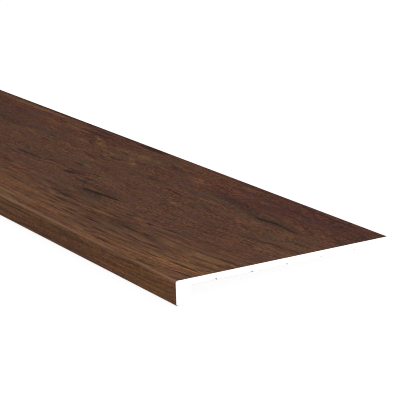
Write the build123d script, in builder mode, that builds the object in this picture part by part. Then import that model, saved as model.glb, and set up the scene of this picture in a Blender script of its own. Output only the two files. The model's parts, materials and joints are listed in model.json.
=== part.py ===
import os
from math import atan2, cos, degrees, radians, sin

from build123d import *

# Vinyl stair tread with an eased nose, in millimetres.
# X runs along the tread, Y from the nose to the back edge, Z up.
# It lies unheld on a floor, on the heel of its nose and on its back edge.

# Driving sizes of the tread, over the film
tread_length = 1219.2
tread_depth = 308.6
nose_height = 31.75
nose_thickness = 20.5
panel_thickness = 9.5
nose_radius = 3.5
foot_radius = 1.5
root_radius = 1.0

# Printed film, wrapped over the top, the nose and the front of the foot
film_thickness = 0.6
film_hem = 3.0

# Saw grooves in the underside
groove_count = 5
groove_first = 55.5
groove_pitch = 50.8
groove_width = 3.2
groove_depth = 1.6

# Section, drawn level with its origin on the heel: depth first, then height
front = -nose_thickness
back = tread_depth - nose_thickness
hem_bottom = -film_thickness
top = hem_bottom + nose_height
underside = top - panel_thickness
core_front = front + film_thickness
core_top = top - film_thickness
hem_end = front + film_hem

# The level section turns about the heel until the back edge meets the floor.
lean = degrees(atan2(underside, back))
turn_cos = cos(radians(lean))
turn_sin = sin(radians(lean))
foot_reach = (front + foot_radius) * turn_cos + (hem_bottom + foot_radius) * turn_sin - foot_radius
back_reach = back * turn_cos + top * turn_sin
heel = -(foot_reach + back_reach) / 2
section = Plane((0, heel, 0), x_dir=(0, turn_cos, -turn_sin), z_dir=(1, 0, 0))

# Rigid core: a panel with the nose dropped from its front edge
with BuildPart() as core:
    with BuildSketch(section):
        with BuildLine():
            FilletPolyline(
                (0, 0),
                (core_front, 0),
                (core_front, core_top),
                (back, core_top),
                (back, underside),
                (0, underside),
                radius=[0, foot_radius - film_thickness, nose_radius - film_thickness, 0, 0, root_radius],
                close=True,
            )
        make_face()
    extrude(amount=tread_length / 2, both=True)

    # Grooves run the whole length, so both sawn ends show them.
    with BuildSketch(section):
        groove_span = (groove_count - 1) * groove_pitch
        with Locations((front + groove_first + groove_span / 2, underside)):
            with GridLocations(groove_pitch, 0, groove_count, 1):
                Rectangle(groove_width, 2 * groove_depth)
    extrude(amount=tread_length / 2, both=True, mode=Mode.SUBTRACT)

# Film: a strip of one thickness that follows the core round the nose and the foot
with BuildPart() as vinyl_film:
    with BuildSketch(section):
        with BuildLine() as wrap:
            FilletPolyline(
                (back, top),
                (front, top),
                (front, hem_bottom),
                (hem_end, hem_bottom),
                radius=[nose_radius, foot_radius],
            )
            offset(amount=film_thickness, side=Side.LEFT)
        make_face()
    extrude(amount=tread_length / 2, both=True)

os.makedirs("parts", exist_ok=True)
core.part.label = "core"
vinyl_film.part.label = "vinyl_film"
export_step(core.part, "parts/core.step")
export_step(vinyl_film.part, "parts/vinyl_film.step")
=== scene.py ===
"""Vinyl stair tread: a wood-print film with embossed grain, wrapped over a white rigid core."""

import json
from collections import namedtuple
from math import atan2, cos, pi, radians, sin

import bpy
import numpy as np
from bpy.props import (
    FloatProperty,
    FloatVectorProperty,
    IntProperty,
    PointerProperty,
)
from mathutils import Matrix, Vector, noise


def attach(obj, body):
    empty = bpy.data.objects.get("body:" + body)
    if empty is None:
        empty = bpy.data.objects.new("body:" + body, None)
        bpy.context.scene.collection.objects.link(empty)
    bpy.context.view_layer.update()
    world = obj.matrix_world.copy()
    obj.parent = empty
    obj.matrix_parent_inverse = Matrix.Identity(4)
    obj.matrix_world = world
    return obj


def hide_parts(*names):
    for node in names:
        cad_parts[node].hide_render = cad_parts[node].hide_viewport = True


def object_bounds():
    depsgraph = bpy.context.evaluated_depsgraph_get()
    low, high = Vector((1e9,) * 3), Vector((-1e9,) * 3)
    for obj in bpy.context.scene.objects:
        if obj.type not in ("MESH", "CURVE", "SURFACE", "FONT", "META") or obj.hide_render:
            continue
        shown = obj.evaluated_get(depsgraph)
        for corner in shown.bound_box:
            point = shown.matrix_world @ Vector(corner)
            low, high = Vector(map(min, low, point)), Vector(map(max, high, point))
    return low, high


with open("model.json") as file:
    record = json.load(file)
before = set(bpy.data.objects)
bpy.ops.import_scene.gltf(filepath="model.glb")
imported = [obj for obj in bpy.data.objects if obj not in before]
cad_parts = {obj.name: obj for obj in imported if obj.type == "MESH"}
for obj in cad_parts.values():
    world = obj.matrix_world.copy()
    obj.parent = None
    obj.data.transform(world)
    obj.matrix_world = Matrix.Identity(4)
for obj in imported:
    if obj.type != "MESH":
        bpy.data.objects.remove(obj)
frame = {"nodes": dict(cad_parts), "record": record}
cad_low, cad_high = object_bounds()

bl_info = {
    "name": "Vinyl stair tread",
    "version": (1, 0, 0),
    "blender": (4, 5, 0),
    "location": "3D View > Sidebar > Stair tread",
    "description": "Dresses a vinyl stair tread: embossed wood-print film, white core and a studio",
    "category": "Add Mesh",
}

# The marks and the grain are laid out in millimetres.
MM = 1000.0

# The tread lies on the heel of its nose and on its back edge, so its section leans.
# The underside's own normal says by how much.
mounts = {m["name"]: m for m in frame["record"]["mounts"]}
down = Vector(mounts["underside"]["axis"])
lean = atan2(-down.y, -down.z)


def levelled(y, z):
    """Depth back along the panel, and rise square to it, as if the tread lay level."""
    return y * cos(lean) - z * sin(lean), y * sin(lean) + z * cos(lean)


def mount_place(name):
    """Depth and rise of one of the record's mounts."""
    _, y, z = mounts[name]["pos_m"]
    return levelled(y, z)


underside_rise = mount_place("underside")[1]
back_depth = mount_place("back_edge")[0]
nose_back_depth = mount_place("nose_back")[0]


def nose_corner(sizes):
    """Depth of the nose's front and rise of the top, over the film."""
    return back_depth - sizes.depth, underside_rise + sizes.panel_thickness


class TreadSizes(bpy.types.PropertyGroup):
    length: FloatProperty(
        name="Length",
        description="Length of the tread between its sawn ends",
        default=cad_high.x - cad_low.x,
        unit="LENGTH",
    )
    depth: FloatProperty(
        name="Depth",
        description="From the front of the nose to the back edge",
        default=0.3086,
        unit="LENGTH",
    )
    nose_height: FloatProperty(
        name="Nose height",
        description="From the top of the film to the bottom of its hem",
        default=0.03175,
        unit="LENGTH",
    )
    panel_thickness: FloatProperty(
        name="Panel thickness",
        description="Core and film together, behind the nose",
        default=0.0095,
        unit="LENGTH",
    )
    nose_radius: FloatProperty(
        name="Nose radius",
        description="Eased edge of the nose, over the film",
        default=0.0035,
        unit="LENGTH",
    )
    foot_radius: FloatProperty(
        name="Foot radius",
        description="Front edge of the foot, over the film",
        default=0.0015,
        unit="LENGTH",
    )
    film_thickness: FloatProperty(
        name="Film thickness",
        description="Wear layer and printed layer together",
        default=0.0006,
        unit="LENGTH",
    )
    film_hem: FloatProperty(
        name="Film hem",
        description="How far the film reaches under the foot",
        default=0.003,
        unit="LENGTH",
    )
    groove_count: IntProperty(
        name="Grooves",
        description="Saw grooves in the underside",
        default=5,
    )
    groove_first: FloatProperty(
        name="First groove",
        description="From the front of the nose to the middle of the first groove",
        default=0.0555,
        unit="LENGTH",
    )
    groove_pitch: FloatProperty(
        name="Groove pitch",
        description="From one groove to the next",
        default=0.0508,
        unit="LENGTH",
    )
    groove_width: FloatProperty(
        name="Groove width",
        description="Width of the saw cut",
        default=0.0032,
        unit="LENGTH",
    )
    groove_depth: FloatProperty(
        name="Groove depth",
        description="Depth of the saw cut",
        default=0.0016,
        unit="LENGTH",
    )
    emboss_depth: FloatProperty(
        name="Emboss depth",
        description="Depth of the grain pressed into the film",
        default=0.00016,
        unit="LENGTH",
    )
    rows_across: IntProperty(
        name="Rows across",
        description="Mesh rows over the flat top of the film",
        default=256,
    )
    rows_along: IntProperty(
        name="Rows along",
        description="Mesh rows along the film",
        default=140,
    )
    nose_rows: IntProperty(
        name="Nose rows",
        description="Mesh rows round the eased nose",
        default=7,
    )
    front_rows: IntProperty(
        name="Front rows",
        description="Mesh rows down the front",
        default=22,
    )
    foot_rows: IntProperty(
        name="Foot rows",
        description="Mesh rows round the front edge of the foot",
        default=4,
    )
    smooth_angle: FloatProperty(
        name="Smoothing angle",
        description="Edges sharper than this stay crisp",
        default=radians(40.0),
        subtype="ANGLE",
    )


class PrintColours(bpy.types.PropertyGroup):
    red_brown: FloatVectorProperty(
        name="Red brown",
        description="Ground colour over the middle",
        subtype="COLOR",
        default=(0.0757, 0.0359, 0.0228),
    )
    golden: FloatVectorProperty(
        name="Golden brown",
        description="Sapwood tone along the nose",
        subtype="COLOR",
        default=(0.1125, 0.0530, 0.0284),
    )
    mauve: FloatVectorProperty(
        name="Mauve brown",
        description="Ground colour towards the back edge",
        subtype="COLOR",
        default=(0.0667, 0.0291, 0.0196),
    )
    pale: FloatVectorProperty(
        name="Pale patch",
        description="Golden patches in the figure",
        subtype="COLOR",
        default=(0.1210, 0.0620, 0.0300),
    )
    smoky: FloatVectorProperty(
        name="Smoky patch",
        description="Grey-brown shade round the checks",
        subtype="COLOR",
        default=(0.036, 0.0198, 0.0148),
    )
    dark_grain: FloatVectorProperty(
        name="Dark grain",
        description="Thin growth lines",
        subtype="COLOR",
        default=(0.025, 0.0118, 0.0096),
    )
    check: FloatVectorProperty(
        name="Check",
        description="Near-black seasoning checks",
        subtype="COLOR",
        default=(0.0170, 0.0122, 0.0117),
    )
    # Painted highlight: a paler tone where the film bends over the nose and under the foot.
    painted_highlight: FloatVectorProperty(
        name="Stretched film",
        description="Paler tone where the film bends over the nose and under the foot",
        subtype="COLOR",
        default=(0.172, 0.0920, 0.0570),
    )
    roughness: FloatProperty(
        name="Roughness",
        description="Roughness of the wear layer",
        default=0.55,
        subtype="FACTOR",
    )
    gloss: FloatProperty(
        name="Gloss",
        description="How much the wear layer reflects",
        default=0.02,
        subtype="FACTOR",
    )
    relief: FloatProperty(
        name="Relief",
        description="Strength of the finest embossing, which follows the print",
        default=0.35,
        subtype="FACTOR",
    )


class CoreFinish(bpy.types.PropertyGroup):
    colour: FloatVectorProperty(
        name="Core",
        description="White of the rigid vinyl core",
        subtype="COLOR",
        default=(0.90, 0.90, 0.885),
    )
    shade: FloatVectorProperty(
        name="Core shade",
        description="Slightly greyer white in the core's cells and drawn lines",
        subtype="COLOR",
        default=(0.80, 0.80, 0.785),
    )
    # Painted shade: a darker line along the underside of both ends.
    painted_edge_shade: FloatVectorProperty(
        name="Scuffed edge",
        description="Slightly tan line that the saw leaves along the underside of both ends",
        subtype="COLOR",
        default=(0.70, 0.655, 0.61),
    )
    # Painted shade inside the saw grooves.
    groove: FloatVectorProperty(
        name="Groove",
        description="Scorched and dusty tone inside the saw grooves",
        subtype="COLOR",
        default=(0.15, 0.138, 0.126),
    )
    roughness: FloatProperty(
        name="Roughness",
        description="Roughness of the core between its cells",
        default=0.5,
        subtype="FACTOR",
    )
    gloss: FloatProperty(
        name="Gloss",
        description="How much the core reflects",
        default=0.35,
        subtype="FACTOR",
    )
    relief: FloatProperty(
        name="Relief",
        description="Strength of the cells, drawn lines and saw marks",
        default=0.25,
        subtype="FACTOR",
    )


class StageSettings(bpy.types.PropertyGroup):
    floor_colour: FloatVectorProperty(
        name="Floor",
        description="Opal sheet that the tread lies on",
        subtype="COLOR",
        default=(0.12, 0.12, 0.12),
    )
    floor_glow: FloatProperty(
        name="Floor glow",
        description="Light that comes up through the opal sheet, so that it looks white",
        default=0.87,
    )
    floor_size: FloatProperty(
        name="Floor size",
        description="Side of the square sheet",
        default=40.0,
        unit="LENGTH",
    )
    floor_gap: FloatProperty(
        name="Floor gap",
        description="How far the sheet lies under the tread, so that their faces don't meet",
        default=0.0003,
        unit="LENGTH",
    )
    backdrop: FloatVectorProperty(
        name="Backdrop",
        description="White that shows past the floor",
        subtype="COLOR",
        default=(1.0, 1.0, 1.0),
    )
    sky: FloatProperty(
        name="Fill light",
        description="Strength of the even light from all round",
        default=0.14,
    )
    overhead: FloatProperty(
        name="Overhead light",
        description="Strength of the broad light over the tread",
        default=3.55,
    )
    overhead_width: FloatProperty(
        name="Overhead width",
        description="How wide the overhead light looks from the tread",
        default=radians(100.0),
        subtype="ANGLE",
    )
    overhead_turn: FloatVectorProperty(
        name="Overhead turn",
        description="How the overhead light is turned",
        subtype="EULER",
        default=(radians(4.0), radians(20.0), 0.0),
    )
    side: FloatProperty(
        name="Side light",
        description="Power of the soft box beside the near end",
        default=22.0,
        unit="POWER",
    )
    side_size: FloatVectorProperty(
        name="Side light size",
        description="Width and height of the soft box",
        size=2,
        unit="LENGTH",
        default=(2.4, 2.0),
    )
    side_place: FloatVectorProperty(
        name="Side light place",
        description="Where the soft box stands",
        subtype="TRANSLATION",
        unit="LENGTH",
        default=(3.0, 0.5, 1.3),
    )
    side_aim: FloatVectorProperty(
        name="Side light aim",
        description="Point that the soft box faces",
        subtype="TRANSLATION",
        unit="LENGTH",
        default=(0.3, 0.0, 0.0),
    )
    eye: FloatVectorProperty(
        name="Eye",
        description="Where the camera stands",
        subtype="TRANSLATION",
        unit="LENGTH",
        default=(2.3742, -1.10173, 0.75706),
    )
    aim: FloatVectorProperty(
        name="Aim",
        description="How the camera is turned",
        subtype="EULER",
        default=(radians(72.5073), radians(5.4349), radians(58.9173)),
    )
    lens: FloatProperty(
        name="Lens",
        description="Focal length, in millimetres",
        default=162.55,
    )
    pixel_filter: FloatProperty(
        name="Pixel filter",
        description="Width of the picture's smoothing, in pixels: narrow, so that the fine grain stays crisp",
        default=1.05,
        subtype="PIXEL",
    )


class Term:
    """A shader socket that can stand in Python sums."""

    def __init__(self, graph, socket):
        self.graph = graph
        self.socket = socket

    def _sum(self, operation, *terms, clamp=False):
        return self.graph.node("ShaderNodeMath", {"operation": operation, "use_clamp": clamp}, terms)

    def __add__(self, other):
        return self._sum("ADD", self, other)

    def __radd__(self, other):
        return self._sum("ADD", other, self)

    def __sub__(self, other):
        return self._sum("SUBTRACT", self, other)

    def __rsub__(self, other):
        return self._sum("SUBTRACT", other, self)

    def __mul__(self, other):
        return self._sum("MULTIPLY", self, other)

    def __rmul__(self, other):
        return self._sum("MULTIPLY", other, self)

    def __truediv__(self, other):
        return self._sum("DIVIDE", self, other)

    def __rtruediv__(self, other):
        return self._sum("DIVIDE", other, self)

    def __abs__(self):
        return self._sum("ABSOLUTE", self)

    def at_least(self, floor):
        return self._sum("MAXIMUM", self, floor)

    def at_most(self, ceiling):
        return self._sum("MINIMUM", self, ceiling)

    def rounded(self):
        return self._sum("ROUND", self)

    def clamped(self):
        return self._sum("ADD", self, 0.0, clamp=True)

    def ramp(self, low, high, start=0.0, end=1.0):
        """Eases from start at low to end at high."""
        return self.graph.node(
            "ShaderNodeMapRange", {"interpolation_type": "SMOOTHSTEP"}, (self, low, high, start, end)
        )

    def line(self, level, half_width):
        """One on the contour where this value is level, falling to zero at half_width either side."""
        return (1.0 - abs(self - level) * (1.0 / half_width)).at_least(0.0)


class Graph:
    """The node tree of one material or world."""

    def __init__(self, owner):
        owner.use_nodes = True
        self.owner = owner
        self.tree = owner.node_tree
        self.tree.nodes.clear()

    def node(self, kind, settings=None, sockets=(), out=0):
        """Adds a node, sets it, feeds its sockets and gives one of its outputs, or several."""
        made = self.tree.nodes.new(kind)
        for key, value in (settings or {}).items():
            setattr(made, key, value)
        pairs = sockets.items() if isinstance(sockets, dict) else enumerate(sockets)
        for key, value in pairs:
            if isinstance(value, Term):
                self.tree.links.new(value.socket, made.inputs[key])
            else:
                made.inputs[key].default_value = value
        if not made.outputs:
            return None
        if isinstance(out, tuple):
            return tuple(Term(self, made.outputs[key]) for key in out)
        return Term(self, made.outputs[out])

    def place(self):
        """The three object coordinates, in metres."""
        place = self.node("ShaderNodeTexCoord", None, (), out="Object")
        return self.node("ShaderNodeSeparateXYZ", None, (place,), out=(0, 1, 2))

    def noise(self, x, y, z, detail=2.0, roughness=0.5):
        """Noise from 0 to 1 over three numbers that are already scaled."""
        place = self.node("ShaderNodeCombineXYZ", None, (x, y, z))
        sockets = {"Vector": place, "Scale": 1.0, "Detail": detail, "Roughness": roughness}
        return self.node("ShaderNodeTexNoise", None, sockets)

    def attribute(self, name):
        """A value that the mesh holds at each point."""
        return self.node("ShaderNodeAttribute", {"attribute_name": name}, (), out="Fac")

    def mix(self, factor, first, second):
        """Mixes two colours."""
        return self.node(
            "ShaderNodeMix",
            {"data_type": "RGBA", "clamp_factor": True},
            {0: factor, 6: first, 7: second},
            out=2,
        )

    def tinted(self, colour, factor, low, high):
        """A colour multiplied by low where the factor is 0 and by high where it is 1."""
        tint = self.mix(factor, solid(low), solid(high))
        return self.node("ShaderNodeVectorMath", {"operation": "MULTIPLY"}, (colour, tint))

    def bump(self, height, strength):
        """The normal of a relief that is 0.2 mm deep at full strength."""
        return self.node("ShaderNodeBump", None, {"Strength": strength, "Distance": 0.0002, "Height": height})

    def finish(self, constants, links):
        """Adds the surface shader and closes the tree."""
        surface = self.node("ShaderNodeBsdfPrincipled", None, {**constants, **links})
        self.node("ShaderNodeOutputMaterial", None, {"Surface": surface})
        return self.owner


def solid(colour):
    return (*colour, 1.0)


# Marks of the figure, in millimetres: the middle's place along from the near end and across from the nose,
# half length, half width, slope (across for each millimetre along) and strength.
CHECKS = (
    (156.0, 223.5, 20.0, 5.4, -0.06, 0.70),
    (134.0, 227.0, 30.0, 4.4, -0.02, 0.75),
    (96.0, 224.5, 36.0, 3.2, 0.10, 0.65),
    (240.0, 246.0, 24.0, 4.0, 0.20, 0.16),
    (226.0, 235.0, 18.0, 3.4, 0.45, 0.30),
    (186.0, 226.0, 20.0, 3.4, 0.06, 0.26),
    (438.0, 111.5, 16.0, 5.4, -0.03, 0.90),
    (412.0, 113.0, 26.0, 4.6, -0.03, 0.95),
    (380.0, 116.0, 32.0, 4.2, -0.06, 0.85),
    (546.0, 137.0, 20.0, 5.4, -0.05, 0.65),
    (480.0, 127.0, 26.0, 3.6, 0.05, 0.45),
    (468.0, 76.0, 24.0, 3.4, 0.03, 0.50),
    (436.0, 72.0, 24.0, 3.6, 0.08, 0.55),
    (283.0, 95.0, 18.0, 3.4, 0.00, 0.45),
    (229.0, 94.0, 13.0, 4.0, 0.00, 0.70),
    (182.0, 101.0, 42.0, 3.0, -0.11, 0.50),
    (662.0, 140.5, 34.0, 3.2, -0.02, 0.45),
    (698.0, 138.5, 40.0, 4.0, 0.02, 0.48),
    (720.0, 128.0, 36.0, 3.2, 0.03, 0.35),
    (880.0, 62.0, 46.0, 5.0, 0.04, 0.90),
    (1010.0, 205.0, 40.0, 5.0, -0.06, 0.85),
    (1120.0, 110.0, 30.0, 4.6, 0.08, 0.60),
)
GROWTH_LINES = (
    (28.0, 90.0, 44.0, 2.4, -0.14, 0.46),
    (142.0, 49.0, 28.0, 2.4, -0.03, 0.59),
    (40.0, 37.0, 44.0, 2.4, -0.10, 0.64),
    (190.0, 47.0, 40.0, 2.4, 0.02, 0.55),
    (228.0, 64.0, 34.0, 2.7, -0.02, 0.55),
    (355.0, 37.0, 30.0, 2.4, 0.02, 0.55),
    (295.0, 43.0, 32.0, 2.4, 0.00, 0.51),
    (250.0, 28.0, 32.0, 2.4, -0.02, 0.51),
    (205.0, 11.0, 50.0, 2.2, 0.00, 0.59),
    (128.0, 1.0, 42.0, 2.1, 0.00, 0.45),
    (70.0, 8.0, 36.0, 2.2, -0.10, 0.34),
    (25.0, 58.0, 34.0, 2.2, -0.12, 0.32),
    (18.0, 22.0, 30.0, 2.2, -0.12, 0.55),
    (110.0, 30.0, 36.0, 2.2, -0.06, 0.47),
    (300.0, 78.0, 44.0, 2.4, 0.00, 0.47),
    (430.0, 50.0, 46.0, 2.4, 0.01, 0.47),
    (400.0, 18.0, 50.0, 2.4, 0.00, 0.26),
    (330.0, 60.0, 40.0, 2.4, 0.00, 0.42),
    (415.0, 58.0, 26.0, 2.1, 0.10, 0.51),
    (374.0, 62.0, 28.0, 2.1, 0.00, 0.51),
    (412.0, 42.0, 24.0, 1.9, 0.04, 0.42),
    (358.0, 45.0, 22.0, 1.9, -0.06, 0.51),
    (465.0, 12.0, 36.0, 2.1, 0.04, 0.30),
    (376.0, 12.0, 30.0, 1.9, 0.10, 0.22),
    (334.0, 21.0, 24.0, 1.9, 0.00, 0.42),
    (340.0, 74.0, 16.0, 2.1, 0.00, 0.42),
    (190.0, 68.0, 20.0, 2.1, 0.00, 0.47),
    (60.0, 34.0, 22.0, 1.9, -0.08, 0.42),
    (38.0, 54.0, 14.0, 1.9, -0.10, 0.26),
    (355.0, 202.0, 45.0, 2.4, 0.08, 0.45),
    (530.0, 151.0, 42.0, 2.8, -0.28, 0.40),
    (78.0, 148.0, 26.0, 2.2, -0.03, 0.40),
    (78.0, 156.0, 24.0, 2.2, -0.06, 0.40),
    (36.0, 172.0, 16.0, 2.2, -0.10, 0.50),
    (15.0, 176.0, 14.0, 2.2, -0.10, 0.50),
    (235.0, 193.0, 34.0, 2.6, 0.18, 0.30),
    (600.0, 204.0, 16.0, 2.4, 0.15, 0.50),
    (618.0, 209.0, 22.0, 2.6, -0.05, 0.50),
    (640.0, 212.0, 16.0, 2.4, 0.10, 0.45),
    (573.0, 228.0, 20.0, 2.8, -0.06, 0.70),
    (576.0, 170.5, 22.0, 3.0, 0.00, 0.45),
    (500.0, 158.0, 18.0, 2.4, 0.00, 0.45),
    (524.0, 143.5, 28.0, 3.2, -0.10, 0.45),
    (487.0, 139.0, 28.0, 3.0, -0.10, 0.42),
    (624.0, 148.0, 30.0, 3.2, 0.02, 0.42),
    (165.0, 245.0, 26.0, 3.0, -0.05, 0.30),
    (590.0, 255.0, 20.0, 2.4, 0.15, 0.55),
    (20.0, 262.0, 9.0, 3.0, 0.30, 0.50),
    (468.0, 272.0, 22.0, 2.6, 0.30, 0.50),
    (430.0, 275.0, 16.0, 2.4, 0.10, 0.40),
    (160.0, 277.0, 50.0, 2.6, -0.02, 0.30),
    (745.0, 282.5, 60.0, 2.6, 0.04, 0.60),
    (735.0, 296.0, 50.0, 3.4, 0.00, 0.45),
    (748.0, 272.0, 30.0, 3.0, -0.05, 0.40),
    (608.0, 289.0, 30.0, 2.6, -0.05, 0.40),
    (870.0, 292.0, 14.0, 4.0, 0.00, 0.50),
    (690.0, 249.0, 26.0, 3.0, 0.35, 0.45),
    (753.0, 201.0, 18.0, 3.0, 0.00, 0.40),
    (772.0, 223.0, 12.0, 3.0, 0.00, 0.50),
    (722.0, 155.0, 14.0, 2.6, 0.30, 0.50),
    (850.0, 306.5, 270.0, 3.4, 0.00, 0.55),
    (60.0, 172.0, 60.0, 2.8, -0.18, 0.35),
    (30.0, 200.0, 40.0, 2.8, -0.15, 0.35),
    (590.0, 301.5, 60.0, 6.5, 0.00, 0.70),
    (330.0, 303.0, 120.0, 4.0, 0.01, 0.25),
    (120.0, 298.0, 90.0, 4.0, 0.02, 0.30),
    # The last lines run down the front; the first three lie dark just under the bend of the nose.
    (420.0, -9.6, 120.0, 1.7, 0.00, 0.50),
    (250.0, -10.0, 110.0, 1.7, 0.00, 0.32),
    (125.0, -6.6, 85.0, 1.7, -0.04, 0.30),
    (340.0, -14.0, 80.0, 3.0, 0.00, 0.22),
    (170.0, -19.0, 90.0, 2.0, 0.00, 0.20),
    (480.0, -20.0, 120.0, 2.0, 0.00, 0.20),
    (420.0, -27.5, 130.0, 1.8, 0.00, 0.40),
)
PALE_PATCHES = (
    (385.0, 261.0, 40.0, 12.0, 0.00, 0.45),
    (388.0, 265.5, 24.0, 3.8, 0.00, 1.00),
    (378.0, 257.0, 26.0, 3.6, 0.00, 0.80),
    (360.0, 265.0, 15.0, 4.0, 0.20, 0.50),
    (540.0, 240.0, 46.0, 8.0, 0.40, 0.80),
    (592.0, 241.0, 30.0, 6.0, -0.20, 0.60),
    (620.0, 242.0, 30.0, 4.5, 0.05, 0.40),
    (680.0, 261.0, 54.0, 7.0, 0.33, 0.70),
    (695.0, 266.0, 16.0, 4.0, 0.30, 0.90),
    (668.0, 255.0, 30.0, 6.0, 0.10, 0.80),
    (708.0, 243.0, 26.0, 5.0, 0.40, 0.50),
    (594.0, 292.0, 28.0, 3.6, 0.00, 0.60),
    (575.0, 282.0, 22.0, 3.4, 0.00, 0.50),
    (558.0, 176.0, 18.0, 4.4, 0.15, 0.90),
    (500.0, 162.0, 18.0, 4.4, -0.10, 0.40),
    (476.0, 152.0, 16.0, 4.0, 0.20, 0.45),
    (442.0, 150.0, 18.0, 4.4, 0.00, 0.35),
    (225.0, 271.0, 11.0, 3.8, 0.10, 0.65),
    (300.0, 292.0, 26.0, 4.4, 0.10, 0.45),
    (44.0, 241.0, 13.0, 3.2, 0.30, 0.55),
    (200.0, 133.0, 15.0, 4.4, 0.00, 0.35),
    (75.0, 211.0, 30.0, 4.4, 0.05, 0.35),
    (145.0, 209.0, 22.0, 4.4, 0.15, 0.35),
    (790.0, 277.0, 80.0, 4.0, 0.04, 0.75),
    (800.0, 287.0, 60.0, 4.0, 0.05, 0.60),
    (870.0, 271.0, 22.0, 4.0, 0.20, 0.60),
    (820.0, 248.0, 22.0, 3.4, 0.20, 0.60),
    (815.0, 237.0, 18.0, 3.4, 0.20, 0.60),
    (825.0, 211.0, 24.0, 3.6, 0.20, 0.70),
    (820.0, 185.0, 20.0, 3.4, 0.10, 0.50),
    (1000.0, 297.0, 180.0, 8.0, 0.01, 0.90),
    (52.0, 66.0, 60.0, 24.0, -0.08, 0.90),
    (95.0, 18.0, 90.0, 20.0, -0.05, 0.60),
    (24.0, 45.0, 64.0, 32.0, -0.08, 0.95),
    (530.0, 14.0, 200.0, 18.0, 0.00, 0.85),
    (605.0, 209.0, 13.0, 3.6, 0.00, 0.80),
    (528.0, 209.0, 12.0, 3.6, 0.00, 0.60),
    (560.0, 264.0, 90.0, 30.0, 0.00, 0.40),
    (450.0, 291.0, 230.0, 24.0, 0.00, 0.22),
    (830.0, 291.0, 90.0, 16.0, 0.00, 0.40),
    (20.0, 150.0, 110.0, 80.0, 0.00, 0.20),
    (30.0, -18.0, 110.0, 26.0, 0.00, 0.30),
    (340.0, -6.6, 200.0, 4.6, 0.00, 0.85),
    (436.0, 66.0, 44.0, 5.0, 0.00, 0.60),
    (325.0, 70.0, 50.0, 6.0, -0.03, 0.70),
    (500.0, 50.0, 80.0, 6.0, 0.00, 0.50),
    (353.0, 38.0, 18.0, 3.4, 0.00, 0.80),
    (600.0, 202.0, 34.0, 4.0, 0.40, 0.35),
    (300.0, 172.0, 15.0, 7.0, 0.10, 0.70),
    (850.0, 268.0, 130.0, 14.0, 0.02, 0.30),
    (85.0, 12.0, 50.0, 8.0, 0.00, 0.85),
    (400.0, 13.0, 50.0, 7.0, 0.00, 0.80),
    (8.0, 55.0, 30.0, 8.0, 0.00, 0.95),
    (1000.0, 120.0, 90.0, 20.0, 0.05, 0.40),
)
SMOKY_PATCHES = (
    (216.0, 238.0, 60.0, 15.0, 0.20, 0.85),
    (424.0, 217.0, 46.0, 12.0, 0.10, 0.45),
    (252.0, 66.0, 26.0, 8.0, 0.00, 0.80),
    (270.0, 242.0, 64.0, 15.0, 0.05, 0.80),
    (140.0, 226.0, 80.0, 16.0, 0.00, 0.75),
    (412.0, 112.0, 88.0, 20.0, 0.00, 0.60),
    (460.0, 82.0, 50.0, 12.0, 0.00, 0.40),
    (285.0, 85.0, 40.0, 10.0, 0.00, 0.50),
    (178.0, 70.0, 38.0, 11.0, 0.00, 0.55),
    (436.0, 72.0, 50.0, 8.0, 0.00, 0.50),
    (408.0, 61.0, 40.0, 7.0, 0.00, 0.45),
    (540.0, 139.0, 30.0, 8.0, 0.00, 0.60),
    (258.0, 66.0, 64.0, 20.0, 0.00, 0.80),
    (265.0, 50.0, 100.0, 44.0, 0.00, 0.34),
    (310.0, -23.0, 150.0, 11.0, 0.00, 0.40),
    (820.0, 150.0, 120.0, 80.0, 0.00, 0.18),
    (6.0, 243.0, 26.0, 12.0, 0.10, 0.80),
    (45.0, 282.0, 80.0, 24.0, 0.10, 0.50),
    (690.0, 138.0, 70.0, 14.0, 0.03, 0.35),
    (578.0, 170.0, 24.0, 6.0, 0.00, 0.55),
    (664.0, 295.0, 32.0, 5.5, 0.05, 0.45),
    (798.0, 264.0, 36.0, 6.5, 0.00, 0.45),
    (104.0, 74.0, 30.0, 10.0, 0.00, 0.45),
    (172.0, 31.0, 66.0, 9.0, 0.00, 0.50),
    (534.0, 56.0, 50.0, 16.0, 0.00, 0.32),
    (648.0, 176.0, 40.0, 9.0, 0.00, 0.32),
    (592.0, 138.0, 30.0, 8.0, 0.00, 0.32),
    (316.0, 10.0, 36.0, 8.0, 0.00, 0.34),
    (516.0, 296.0, 44.0, 7.0, 0.00, 0.34),
    (460.0, 38.0, 50.0, 7.0, 0.00, 0.30),
    (708.0, 208.0, 40.0, 8.0, 0.00, 0.30),
    (950.0, 220.0, 130.0, 26.0, 0.00, 0.60),
)
OLIVE_PATCHES = (
    (500.0, 270.0, 100.0, 34.0, 0.00, 0.90),
    (415.0, 256.0, 60.0, 13.0, 0.00, 0.80),
    (555.0, 240.0, 70.0, 14.0, 0.00, 0.60),
    (410.0, 95.0, 110.0, 26.0, 0.02, 0.90),
    (470.0, 130.0, 50.0, 18.0, 0.00, 0.60),
    (305.0, 163.0, 50.0, 18.0, 0.00, 0.50),
    (265.0, 222.0, 60.0, 16.0, 0.05, 0.60),
    (590.0, 185.0, 60.0, 16.0, -0.10, 0.60),
    (160.0, 118.0, 50.0, 12.0, 0.00, 0.50),
    (60.0, 190.0, 120.0, 30.0, 0.00, 0.40),
    (780.0, 240.0, 110.0, 26.0, 0.02, 0.40),
    (930.0, 170.0, 100.0, 22.0, 0.00, 0.60),
    (1150.0, 160.0, 90.0, 24.0, 0.00, 0.60),
)
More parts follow.
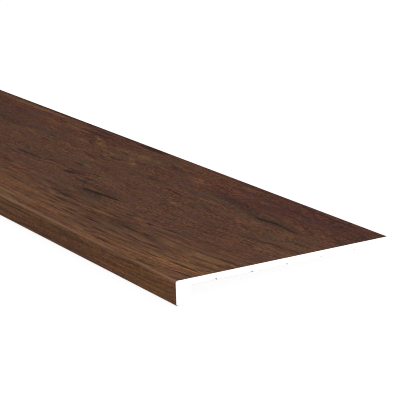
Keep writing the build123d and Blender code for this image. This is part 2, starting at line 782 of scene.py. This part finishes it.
RUSTY_PATCHES = (
    (355.0, 272.0, 70.0, 34.0, 0.00, 0.95),
    (345.0, 244.0, 60.0, 14.0, 0.00, 0.60),
    (530.0, 199.0, 60.0, 11.0, 0.00, 1.00),
    (620.0, 203.0, 110.0, 14.0, 0.00, 0.60),
    (430.0, 230.0, 50.0, 9.0, 0.00, 0.70),
    (90.0, 130.0, 110.0, 32.0, -0.05, 0.60),
    (690.0, 115.0, 60.0, 10.0, 0.00, 0.60),
    (620.0, 88.0, 70.0, 16.0, 0.00, 0.60),
    (690.0, 225.0, 60.0, 14.0, 0.00, 0.60),
    (50.0, 275.0, 50.0, 10.0, 0.00, 0.70),
    (240.0, 298.0, 80.0, 12.0, 0.00, 0.70),
    (360.0, 142.0, 80.0, 12.0, 0.00, 0.50),
    (820.0, 180.0, 120.0, 24.0, 0.03, 0.70),
    (820.0, 270.0, 120.0, 44.0, 0.00, 0.70),
    (960.0, 70.0, 90.0, 18.0, 0.02, 0.50),
    (1080.0, 240.0, 110.0, 26.0, 0.00, 0.70),
)
PLUM_PATCHES = (
    (140.0, 278.0, 190.0, 40.0, 0.00, 0.90),
    (650.0, 140.0, 60.0, 14.0, 0.00, 0.50),
    (250.0, 245.0, 70.0, 12.0, 0.00, 0.60),
    (720.0, 290.0, 120.0, 26.0, 0.00, 0.50),
    (1000.0, 280.0, 140.0, 30.0, 0.00, 0.60),
)

MARKS = {
    "checks": CHECKS,
    "growth": GROWTH_LINES,
    "pale": PALE_PATCHES,
    "smoky": SMOKY_PATCHES,
    "olive": OLIVE_PATCHES,
    "rusty": RUSTY_PATCHES,
    "plum": PLUM_PATCHES,
}

# What the ground is multiplied by in the middle of a patch that only changes its tone, and down the front,
# where the darker, warmer tint is painted shade.
PLAIN = (1.0, 1.0, 1.0)
TONES = {"olive": (0.91, 1.03, 1.03), "rusty": (1.07, 0.95, 0.96), "plum": (0.96, 0.90, 1.00)}
FRONT_PAINTED_SHADE = (0.955, 0.86, 0.705)

# Layers of the grain: length and width in millimetres, place in the noise, strength down the front,
# along the nose and behind it, and the tints at the two ends of the layer.
Layer = namedtuple("Layer", "name length width seed strengths low high")
GRAIN = (
    Layer("figure", 150.0, 26.0, 7.7, (0.6, 0.8, 0.8), (0.93, 0.94, 0.97), (1.07, 1.06, 1.03)),
    Layer("drift", 90.0, 22.0, 21.3, (0.4, 0.9, 0.7), (0.96, 1.02, 1.06), (1.04, 0.98, 0.93)),
    Layer("streak", 240.0, 7.5, 1.7, (0.5, 0.65, 0.4), (0.86, 0.87, 0.94), (1.13, 1.12, 1.05)),
    Layer("warm", 24.0, 8.0, 41.7, (0.6, 1.2, 1.9), (0.97, 0.97, 1.06), (1.03, 1.03, 0.93)),
    Layer("thread", 180.0, 3.4, 11.9, (0.6, 0.9, 0.5), (0.78, 0.78, 0.83), (1.22, 1.22, 1.17)),
    Layer("hairline", 120.0, 1.5, 71.9, (1.4, 0.6, 0.3), (0.78, 0.78, 0.80), (1.22, 1.22, 1.20)),
    Layer("rust", 16.0, 6.5, 61.3, (0.4, 0.5, 0.9), (0.89, 1.02, 1.03), (1.11, 0.98, 0.97)),
    Layer("fibre", 40.0, 2.6, 91.3, (0.3, 0.4, 0.6), (0.78, 0.75, 0.72), (1.22, 1.25, 1.28)),
    Layer("fleck", 6.5, 2.5, 5.3, (0.6, 0.6, 1.0), (0.72, 0.68, 0.64), (1.28, 1.31, 1.34)),
)
FINE_GRAIN = ("fibre", "fleck")

# Bands of the figure, in millimetres from the nose: where each one starts, and where it is full.
GOLDEN_BAND = (125.0, 5.0)
NOSE_BAND = (125.0, 85.0)
MAUVE_BAND = (205.0, 270.0)
FRONT_BAND = (2.0, -5.0)

# How the figure's lines stray, in millimetres. Within reach of the near end they lean, by the rate times
# the square of the distance. Over their whole run they wander, and behind the nose they curl in eddies.
LEAN_REACH = 230.0
LEAN_RATE = 0.000275
WANDER = 16.0
EDDY_AT_NOSE = 2.0
EDDY_BEHIND = 14.0
MARK_WAVER = 1.6

# Layer noise lies mostly between these two values.
NOISE_LOW = 0.34
NOISE_HIGH = 0.66

# A dark growth line lies on the bend of the nose here, millimetres from the near end, and the painted
# highlight is fainter round it.
NOSE_LINE_MIDDLE = 128.0


def print_place(sizes, x, depth, rise):
    """Millimetres from the near end, and across from the nose: below zero down the front."""
    front, top = nose_corner(sizes)
    along = MM * sizes.length / 2 - x * MM
    across = (depth + rise) * MM - MM * (front + top)
    return along, across


def draw_marks(film, sizes):
    """Draws the marks on the level film, as attributes: spindles that taper to both ends and waver."""
    places = np.empty(len(film.data.vertices) * 3)
    film.data.vertices.foreach_get("co", places)
    along, across = print_place(sizes, *places.reshape(-1, 3).T)
    across += [MARK_WAVER * noise.noise((a / 45.0, c / 12.0, 4.7)) for a, c in zip(along, across)]
    for name, marks in MARKS.items():
        strongest = np.zeros(len(along))
        for at_along, at_across, half_length, half_width, slope, strength in marks:
            run = along - at_along
            taper = np.maximum(1.0 - (run / half_length) ** 2, 0.0)
            off = abs(across - at_across - run * slope)
            strongest = np.maximum(strongest, strength * (taper - off / half_width))
        film.data.attributes.new(name, "FLOAT", "POINT").data.foreach_set("value", strongest)


# A point of the print: its place, the line of the figure that runs through it, and what part it is in.
Place = namedtuple("Place", "along across ring nose_side down_front")


def print_point(g, sizes):
    """The place of a point on the print, with the lines of the figure bent and wandering."""
    x, y, z = g.place()
    along, across = print_place(sizes, x, *levelled(y, z))

    # Towards the near end the lines lean back, and at the back edge they lean forward.
    near = (LEAN_REACH - along).at_least(0.0)
    leaning = across.ramp(150.0, 235.0, 1.0, -1.0) * across.ramp(-30.0, 20.0, 0.3, 1.0)
    bend = leaning * near * near * LEAN_RATE
    wander = g.noise(along / 240.0, across / 90.0, 3.1, detail=1.0) - 0.5
    eddy = g.noise(along / 60.0, across / 28.0, 9.7, detail=1.0) - 0.5
    curl = eddy * across.ramp(70.0, 140.0, EDDY_AT_NOSE, EDDY_BEHIND)
    ring = across - bend - wander * WANDER - curl
    return Place(along, across, ring, ring.ramp(*NOSE_BAND), across.ramp(*FRONT_BAND))


def layer_noise(g, at, layer):
    return g.noise(at.along / layer.length, at.ring / layer.width, layer.seed, roughness=0.6)


def ground_tone(g, at, layers, marks, colours):
    """Golden along the nose, red brown behind and mauve at the back, with pale, smoky and toned patches."""
    ground = g.mix(at.ring.ramp(*GOLDEN_BAND), solid(colours.red_brown), solid(colours.golden))
    ground = g.mix(at.ring.ramp(*MAUVE_BAND), ground, solid(colours.mauve))
    ground = g.mix(marks["pale"] * (layers["warm"] * 1.6 + 0.3), ground, solid(colours.pale))
    ground = g.mix(marks["smoky"] * (layers["thread"] * 2.6 - 0.3), ground, solid(colours.smoky))
    for name, tone in TONES.items():
        ground = g.tinted(ground, marks[name] * (layers["drift"] * 2.0 + 0.2), PLAIN, tone)
    return ground


def grained(g, at, layers, colour):
    """Tints the ground, layer by layer, and paints shade down the front. The finest layers come and go in
    patches.
    """
    patches = layers["drift"].ramp(NOISE_LOW, NOISE_HIGH, 0.5, 1.25)
    for layer in GRAIN:
        front, nose, back = layer.strengths
        strength = back + at.nose_side * (nose - back) + at.down_front * (front - nose)
        if layer.name in FINE_GRAIN:
            strength = strength * patches
        swing = (layers[layer.name].ramp(NOISE_LOW, NOISE_HIGH) - 0.5) * strength
        colour = g.tinted(colour, 0.5 + swing, layer.low, layer.high)
    # Painted shade: the front face is tinted darker and warmer.
    return g.tinted(colour, at.down_front, PLAIN, FRONT_PAINTED_SHADE)


def growth_lines(g, at, drawn):
    """Thin dark lines: drawn ones in dashes, and fainter ones that follow two contours of the figure."""
    contours = g.noise(at.along / 190.0, at.ring / 15.0, 15.1, detail=1.0)
    fade = g.noise(at.along / 50.0, at.ring / 12.0, 31.0, detail=1.0)
    lower = contours.line(0.46, 0.045) * fade.ramp(0.42, 0.58)
    upper = contours.line(0.56, 0.04) * fade.ramp(0.58, 0.44)
    faint = lower.at_least(upper) * (0.08 + at.nose_side * 0.5 - at.down_front * 0.35)
    dashes = g.noise(at.along / 12.0, at.across / 3.0, 23.0, detail=1.0)
    return faint.at_least((drawn * (dashes * 4.0 + 0.4)).at_most(0.9))


def frayed(g, at, drawn):
    """Thin dark checks with frayed edges."""
    fray = g.noise(at.along / 7.0, at.across / 3.0, 2.9)
    return (drawn * (fray * 4.0 - 0.2)).clamped()


def painted_highlight(at, layers):
    """One where a highlight is painted as a paler tone, over the bend of the nose and under the foot."""
    beside_line = abs(at.along - NOSE_LINE_MIDDLE).ramp(20.0, 62.0, 0.42, 0.95)
    uneven = layers["streak"].ramp(0.35, 0.65, 0.8, 1.1)
    over_nose = abs(at.across + 0.2).ramp(3.8, 0.4) * (beside_line * uneven)
    under_foot = at.across.ramp(-29.0, -31.5) * 0.7
    return over_nose.at_least(under_foot)


def wood_print(sizes, colours):
    """Walnut figure printed on the film: it runs along the tread and over the nose without a break."""
    g = Graph(bpy.data.materials.new("wood_print_film"))
    at = print_point(g, sizes)
    layers = {layer.name: layer_noise(g, at, layer) for layer in GRAIN}
    marks = {name: g.attribute(name) for name in MARKS}
    colour = ground_tone(g, at, layers, marks, colours)
    colour = grained(g, at, layers, colour)
    growth = growth_lines(g, at, marks["growth"])
    colour = g.mix(growth, colour, solid(colours.dark_grain))
    checks = frayed(g, at, marks["checks"])
    colour = g.mix(checks, colour, solid(colours.check))
    # Painted highlight over the bend of the nose and along the foot.
    colour = g.mix(painted_highlight(at, layers), colour, solid(colours.painted_highlight))

    # Embossing follows the print: threads stand up, growth lines and checks sink.
    thread = layers["thread"]
    height = thread * 0.6 + layers["streak"] * 0.5 - growth * 0.5 - checks * 0.8
    rough = colours.roughness + (thread - 0.5) * 0.2 + checks * 0.12
    return g.finish(
        {"Specular IOR Level": colours.gloss},
        {"Base Color": colour, "Roughness": rough, "Normal": g.bump(height, colours.relief)},
    )


# Patterns of the core, in repeats to a metre. Drawn lines run along the profile, and saw marks slant.
CELLS = 900.0
DRAWN_ALONG = 4.0
DRAWN_ACROSS = 420.0
SAWN_ALONG = 300.0
SAWN_ACROSS = 700.0
SAWN_UP = 30.0
SAW_SLANT = 0.6

# The painted shade along the underside of the ends and in the grooves fades between these places, in
# millimetres from the front, to this share.
SHADE_FADE = (90.0, 215.0)
SHADE_FADED = 0.06


def saw_grooves(sizes, depth, height):
    """One inside the grooves of the underside, and zero elsewhere."""
    front, _ = nose_corner(sizes)
    pitch = MM * sizes.groove_pitch
    from_first = depth - MM * (front + sizes.groove_first)
    nearest = (from_first / pitch).rounded().at_least(0.0).at_most(sizes.groove_count - 1.0)
    half_width = MM * sizes.groove_width / 2
    ceiling = MM * sizes.groove_depth
    beside = abs(from_first - nearest * pitch).ramp(half_width + 0.4, half_width + 0.1)
    return beside * height.ramp(0.0, 0.2) * height.ramp(ceiling + 0.4, ceiling + 0.1)


def painted_edge_shade_line(sizes, x, depth, height):
    """One on the line of painted shade along the underside of both ends, and zero elsewhere."""
    behind_nose = (depth - MM * nose_back_depth).ramp(0.1, 0.8)
    at_end = (abs(x) * MM - MM * sizes.length / 2).ramp(-1.2, -0.4)
    return height.ramp(0.9, 0.5) * behind_nose * at_end


def white_core(sizes, finish):
    """Rigid foamed vinyl: fine closed cells, drawn lines along the profile and saw marks on the ends, with
    painted shade along the underside of the ends and inside the grooves.
    """
    g = Graph(bpy.data.materials.new("white_core"))
    x, y, z = g.place()
    cells = g.noise(x * CELLS, y * CELLS, z * CELLS)
    drawn = g.noise(x * DRAWN_ALONG, y * DRAWN_ACROSS, z * DRAWN_ACROSS, detail=3.0)
    sawn = g.noise(x * SAWN_ALONG, (y + z * SAW_SLANT) * SAWN_ACROSS, z * SAWN_UP)
    worn = cells.ramp(0.35, 0.75) * 0.35 + drawn.ramp(0.4, 0.8) * 0.25
    colour = g.mix(worn, solid(finish.colour), solid(finish.shade))

    # Millimetres back along the panel, and up from its underside.
    depth, rise = levelled(y * MM, z * MM)
    height = rise - MM * underside_rise
    front, _ = nose_corner(sizes)
    fading = (depth - MM * front).ramp(*SHADE_FADE, 1.0, SHADE_FADED)
    # Painted shade: a darker line along the underside of the ends.
    painted_edge_shade = painted_edge_shade_line(sizes, x, depth, height) * fading
    colour = g.mix(painted_edge_shade, colour, solid(finish.painted_edge_shade))
    # Painted shade: the saw grooves darkened inside.
    groove_shade = saw_grooves(sizes, depth, height) * fading * (0.75 + cells * 0.4)
    colour = g.mix(groove_shade, colour, solid(finish.groove))

    relief = cells * 0.4 + drawn * 0.4 + sawn * 0.3
    rough = finish.roughness + cells * 0.2
    return g.finish(
        {"Specular IOR Level": finish.gloss},
        {"Base Color": colour, "Roughness": rough, "Normal": g.bump(relief, finish.relief)},
    )


def select_only(thing):
    bpy.ops.object.select_all(action="DESELECT")
    thing.select_set(True)
    bpy.context.view_layer.objects.active = thing


def select_row(thing, test):
    """In edit mode, selects the vertices that pass the test."""
    bpy.ops.mesh.select_mode(type="VERT")
    bpy.ops.mesh.select_all(action="DESELECT")
    bpy.ops.object.mode_set(mode="OBJECT")
    for vertex in thing.data.vertices:
        vertex.select = test(vertex.co)
    bpy.ops.object.mode_set(mode="EDIT")


# Points nearer than this to an edge, in metres, lie on it, and points nearer than the second are one.
ON_EDGE = 1e-5
SAME_POINT = 1e-6

# Points of the film that the grain isn't pressed into: its inner face and its sawn ends.
SPARED = "spared_from_grain"

# Grain pressed into the film: share of the depth, and how far the pattern is stretched each way, in metres.
PRESSED_GRAIN = (
    ("growth_waves", 0.6, (0.50, 0.022, 0.022)),
    ("grain_ticks", 0.4, (0.14, 0.009, 0.009)),
)


def quarter_turn(rows, depth, rise):
    """Spins the selected edge a quarter turn, forwards and down, about a line along the tread."""
    bpy.ops.mesh.spin(steps=rows, angle=pi / 2, center=(0.0, depth, rise), axis=(-1.0, 0.0, 0.0))


def draw_out(depth, rise):
    """Extrudes the selected edge by so much back and so much up."""
    bpy.ops.mesh.extrude_region_move(TRANSFORM_OT_translate={"value": (0.0, depth, rise)})


def film_sheet(sizes):
    """The outer face of the film, drawn level: flat top, eased nose, front, foot and hem."""
    front, top = nose_corner(sizes)
    flat_front = front + sizes.nose_radius
    flat = back_depth - flat_front
    bpy.ops.object.select_all(action="DESELECT")
    bpy.ops.mesh.primitive_grid_add(
        x_subdivisions=sizes.rows_along, y_subdivisions=sizes.rows_across, size=1.0
    )
    film = bpy.context.active_object
    film.name = film.data.name = "wood_print_film"
    bpy.ops.object.mode_set(mode="EDIT")
    bpy.ops.transform.resize(value=(sizes.length, flat, 1.0))
    bpy.ops.transform.translate(value=(0.0, flat_front + flat / 2, top))

    # Round the nose, down the front, round the foot and under it.
    select_row(film, lambda co: co.y < flat_front + ON_EDGE)
    quarter_turn(sizes.nose_rows, flat_front, top - sizes.nose_radius)
    drop = sizes.nose_height - sizes.nose_radius - sizes.foot_radius
    for _ in range(sizes.front_rows):
        draw_out(0.0, -drop / sizes.front_rows)
    quarter_turn(sizes.foot_rows, front + sizes.foot_radius, top - sizes.nose_height + sizes.foot_radius)
    draw_out(sizes.film_hem - sizes.foot_radius, 0.0)

    # The outer face looks outwards: up at the back edge.
    bpy.ops.mesh.select_all(action="SELECT")
    bpy.ops.mesh.remove_doubles(threshold=SAME_POINT)
    bpy.ops.mesh.normals_make_consistent(inside=False)
    bpy.ops.object.mode_set(mode="OBJECT")
    if max(film.data.polygons, key=lambda face: face.center.y).normal.z < 0:
        bpy.ops.object.mode_set(mode="EDIT")
        bpy.ops.mesh.flip_normals()
        bpy.ops.object.mode_set(mode="OBJECT")
    return film


def thicken(film, sizes):
    """Gives the sheet one thickness, inwards, and notes which points the grain spares."""
    film.vertex_groups.new(name=SPARED)
    shell = film.modifiers.new("thickness", "SOLIDIFY")
    shell.thickness = sizes.film_thickness
    shell.offset = -1.0
    shell.use_even_offset = True
    shell.shell_vertex_group = SPARED
    bpy.ops.object.modifier_apply(modifier="thickness")
    ends = [v.index for v in film.data.vertices if abs(v.co.x) > sizes.length / 2 - ON_EDGE]
    film.vertex_groups[SPARED].add(ends, 1.0, "REPLACE")


def press_grain(film, sizes):
    """Presses waves and ticks of grain into the outer face alone."""
    for name, share, stretch in PRESSED_GRAIN:
        bpy.ops.object.empty_add()
        ruler = bpy.context.active_object
        ruler.scale = stretch
        texture = bpy.data.textures.new(name, "CLOUDS")
        texture.noise_scale = 0.25
        texture.noise_depth = 2
        bpy.context.view_layer.update()
        select_only(film)
        press = film.modifiers.new(name, "DISPLACE")
        press.texture = texture
        press.texture_coords = "OBJECT"
        press.texture_coords_object = ruler
        press.mid_level = 1.0
        press.strength = sizes.emboss_depth * share
        press.vertex_group = SPARED
        press.invert_vertex_group = True
        bpy.ops.object.modifier_apply(modifier=name)
        bpy.data.objects.remove(ruler)
        bpy.data.textures.remove(texture)
    film.vertex_groups.clear()


class TREAD_OT_film(bpy.types.Operator):
    """Wraps the wood-print film over the top, the eased nose and the foot, and presses the grain into it"""

    bl_idname = "tread.film"
    bl_label = "Wood-print film"

    def execute(self, context):
        sizes = context.scene.tread_sizes
        film = film_sheet(sizes)
        thicken(film, sizes)
        press_grain(film, sizes)
        bpy.ops.object.shade_smooth_by_angle(angle=sizes.smooth_angle)
        draw_marks(film, sizes)

        # Leans as the tread lies.
        film.rotation_euler = (-lean, 0.0, 0.0)
        bpy.ops.object.transform_apply(location=True, rotation=True, scale=True)
        film.data.materials.append(wood_print(sizes, context.scene.tread_print))
        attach(film, "root")
        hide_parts("vinyl_film")
        return {"FINISHED"}


class TREAD_OT_core(bpy.types.Operator):
    """Gives the rigid core its white, closed-cell finish"""

    bl_idname = "tread.core"
    bl_label = "White core"

    def execute(self, context):
        core = frame["nodes"]["core"]
        core.data.materials.clear()
        core.data.materials.append(white_core(context.scene.tread_sizes, context.scene.tread_core))
        return {"FINISHED"}


def opal_floor(stage):
    """A white sheet that glows from below, for the tread to lie on."""
    bpy.ops.object.select_all(action="DESELECT")
    bpy.ops.mesh.primitive_plane_add(size=stage.floor_size, location=(0.0, 0.0, -stage.floor_gap))
    floor = bpy.context.active_object
    floor.name = floor.data.name = "floor"
    g = Graph(bpy.data.materials.new("pale_floor"))
    opal = {
        "Base Color": solid(stage.floor_colour),
        "Roughness": 0.9,
        "Specular IOR Level": 0.1,
        "Emission Color": solid(stage.backdrop),
        "Emission Strength": stage.floor_glow,
    }
    floor.data.materials.append(g.finish(opal, {}))


def studio_world(stage):
    """A world that lights the tread dimly, but is white where it shows past the floor."""
    world = bpy.data.worlds.new("studio")
    g = Graph(world)
    seen = g.node("ShaderNodeLightPath", None, (), out="Is Camera Ray")
    shade = g.mix(seen, solid([stage.sky] * 3), solid(stage.backdrop))
    backdrop = g.node("ShaderNodeBackground", None, {"Color": shade, "Strength": 1.0})
    g.node("ShaderNodeOutputWorld", None, {"Surface": backdrop})
    return world


def add_to_scene(data):
    """Puts a light or a camera into the scene, under its own name."""
    thing = bpy.data.objects.new(data.name, data)
    bpy.context.scene.collection.objects.link(thing)
    return thing


def studio_lights(stage):
    """A soft box beside the near end, and a broad light overhead."""
    box = bpy.data.lights.new("side_box", "AREA")
    box.energy = stage.side
    box.shape = "RECTANGLE"
    box.size, box.size_y = stage.side_size
    lamp = add_to_scene(box)
    lamp.visible_camera = False
    lamp.location = stage.side_place
    lamp.rotation_euler = (stage.side_aim - stage.side_place).to_track_quat("-Z", "Y").to_euler()

    sun = bpy.data.lights.new("overhead_light", "SUN")
    sun.energy = stage.overhead
    sun.angle = stage.overhead_width
    add_to_scene(sun).rotation_euler = stage.overhead_turn


def photo_camera(stage):
    """A camera at the photograph's angle."""
    eye = bpy.data.cameras.new("photo_eye")
    eye.sensor_width = 36.0
    eye.lens = stage.lens
    eye.clip_end = 100.0
    camera = add_to_scene(eye)
    camera.location = stage.eye
    camera.rotation_euler = stage.aim
    return camera


class TREAD_OT_stage(bpy.types.Operator):
    """Sets the white floor, the soft light and the camera"""

    bl_idname = "tread.stage"
    bl_label = "Studio"

    def execute(self, context):
        scene = context.scene
        stage = scene.tread_stage
        opal_floor(stage)
        scene.world = studio_world(stage)
        studio_lights(stage)
        scene.camera = photo_camera(stage)
        scene.view_settings.view_transform = "Standard"
        scene.cycles.filter_width = stage.pixel_filter
        return {"FINISHED"}


class TREAD_PT_sidebar(bpy.types.Panel):
    """The tread's pieces and their sizes"""

    bl_idname = "TREAD_PT_sidebar"
    bl_label = "Stair tread"
    bl_space_type = "VIEW_3D"
    bl_region_type = "UI"
    bl_category = "Stair tread"

    def draw(self, context):
        scene = context.scene
        for operator, group in (
            ("tread.film", scene.tread_sizes),
            (None, scene.tread_print),
            ("tread.core", scene.tread_core),
            ("tread.stage", scene.tread_stage),
        ):
            box = self.layout.box()
            if operator:
                box.operator(operator)
            for key in group.__annotations__:
                box.prop(group, key)


GROUPS = (
    ("tread_sizes", TreadSizes),
    ("tread_print", PrintColours),
    ("tread_core", CoreFinish),
    ("tread_stage", StageSettings),
)
CLASSES = (TREAD_OT_film, TREAD_OT_core, TREAD_OT_stage, TREAD_PT_sidebar)


def register():
    for name, group in GROUPS:
        bpy.utils.register_class(group)
        setattr(bpy.types.Scene, name, PointerProperty(type=group))
    for cls in CLASSES:
        bpy.utils.register_class(cls)


def unregister():
    for cls in reversed(CLASSES):
        bpy.utils.unregister_class(cls)
    for name, group in reversed(GROUPS):
        delattr(bpy.types.Scene, name)
        bpy.utils.unregister_class(group)


def main():
    register()
    bpy.ops.tread.core()
    bpy.ops.tread.film()
    bpy.ops.tread.stage()


if __name__ == "__main__":
    main()
